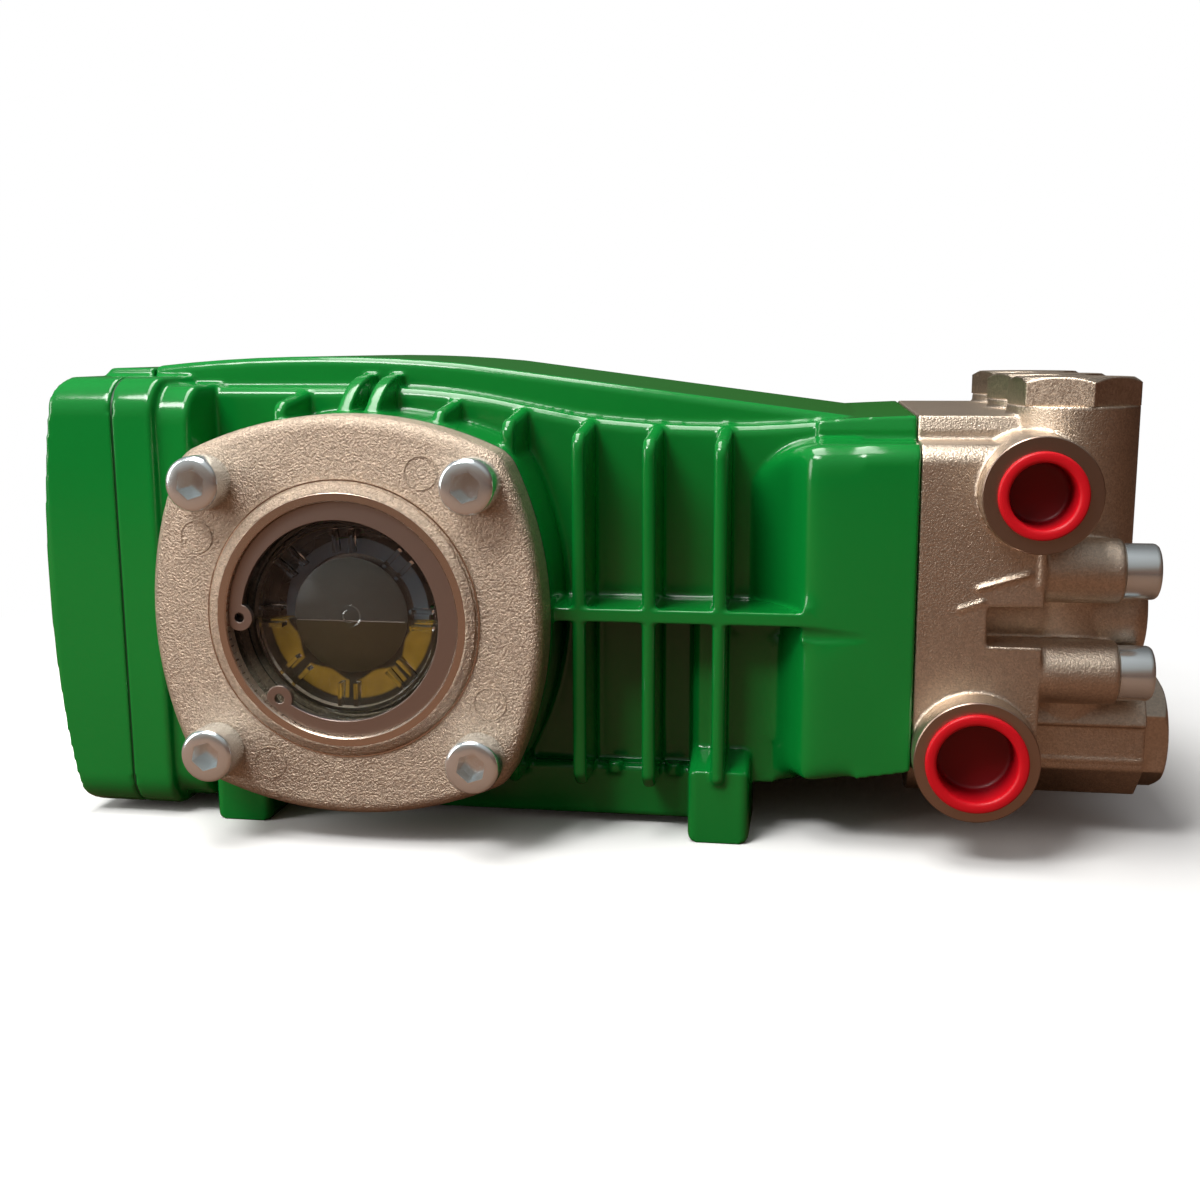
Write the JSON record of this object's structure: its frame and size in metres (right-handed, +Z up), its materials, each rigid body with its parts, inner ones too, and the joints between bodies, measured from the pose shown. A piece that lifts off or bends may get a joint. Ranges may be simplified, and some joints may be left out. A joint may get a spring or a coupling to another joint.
{
  "type": "high-pressure plunger pump",
  "caption": "High-pressure plunger pump with a green ribbed cast crankcase, a sight-glass bearing cover, a keyed drive shaft and a plated pump head with capped ports.",
  "frame": {"origin": "centre of the four foot holes, on the plane that the feet stand on", "axes": "+X from the rear cover to the pump head, +Y from the sight glass to the drive shaft end, +Z up"},
  "size_m": [0.2772, 0.216, 0.1177],
  "materials": {
    "crankcase_paint": "gloss",
    "plated_cover": "sand-cast satin",
    "plated_head": "sand-cast satin",
    "zinc_screw": "bright zinc",
    "bearing_steel": "ground",
    "spring_steel": "satin",
    "clear_glass": "clear",
    "seal_rubber": "matt",
    "gasket_paper": "matt",
    "red_plastic": "satin"
  },
  "bodies": {
    "pump_body": {"crankcase": "crankcase_paint", "delivery_valve_cap_1": "plated_head", "delivery_valve_cap_2": "plated_head", "delivery_valve_cap_3": "plated_head", "drive_side_bearing": "bearing_steel", "drive_side_bearing_cover": "plated_cover", "drive_side_cover_gasket": "gasket_paper", "drive_side_cover_screw_1": "zinc_screw", "drive_side_cover_screw_2": "zinc_screw", "drive_side_cover_screw_3": "zinc_screw", "drive_side_cover_screw_4": "zinc_screw", "head_bolt_1": "zinc_screw", "head_bolt_2": "zinc_screw", "head_bolt_3": "zinc_screw", "head_bolt_4": "zinc_screw", "head_bolt_5": "zinc_screw", "head_bolt_6": "zinc_screw", "head_bolt_7": "zinc_screw", "head_bolt_8": "zinc_screw", "inlet_port_cap_drive_side": "red_plastic", "inlet_port_cap_sight_side": "red_plastic", "outlet_port_cap_drive_side": "red_plastic", "outlet_port_cap_sight_side": "red_plastic", "pump_head": "plated_head", "rear_cover": "crankcase_paint", "rear_cover_gasket": "gasket_paper", "rear_cover_screws": "zinc_screw", "shaft_seal": "seal_rubber", "sight_glass": "clear_glass", "sight_glass_circlip": "spring_steel", "sight_side_bearing_cover": "plated_cover", "sight_side_bearing_outer_ring": "bearing_steel", "sight_side_cover_gasket": "gasket_paper", "sight_side_cover_screw_1": "zinc_screw", "sight_side_cover_screw_2": "zinc_screw", "sight_side_cover_screw_3": "zinc_screw", "sight_side_cover_screw_4": "zinc_screw", "suction_valve_cap_1": "plated_head", "suction_valve_cap_2": "plated_head", "suction_valve_cap_3": "plated_head"},
    "crank": {"crankshaft": "bearing_steel", "sight_side_bearing_inner_ring": "bearing_steel", "sight_side_bearing_rollers": "bearing_steel"}
  },
  "joints": [
    {"name": "crankshaft_spin", "type": "hinge", "parent": "pump_body", "child": "crank", "pos_m": [-0.027, 0, 0.0565], "axis": [0, 1, 0], "continuous": true}
  ]
}
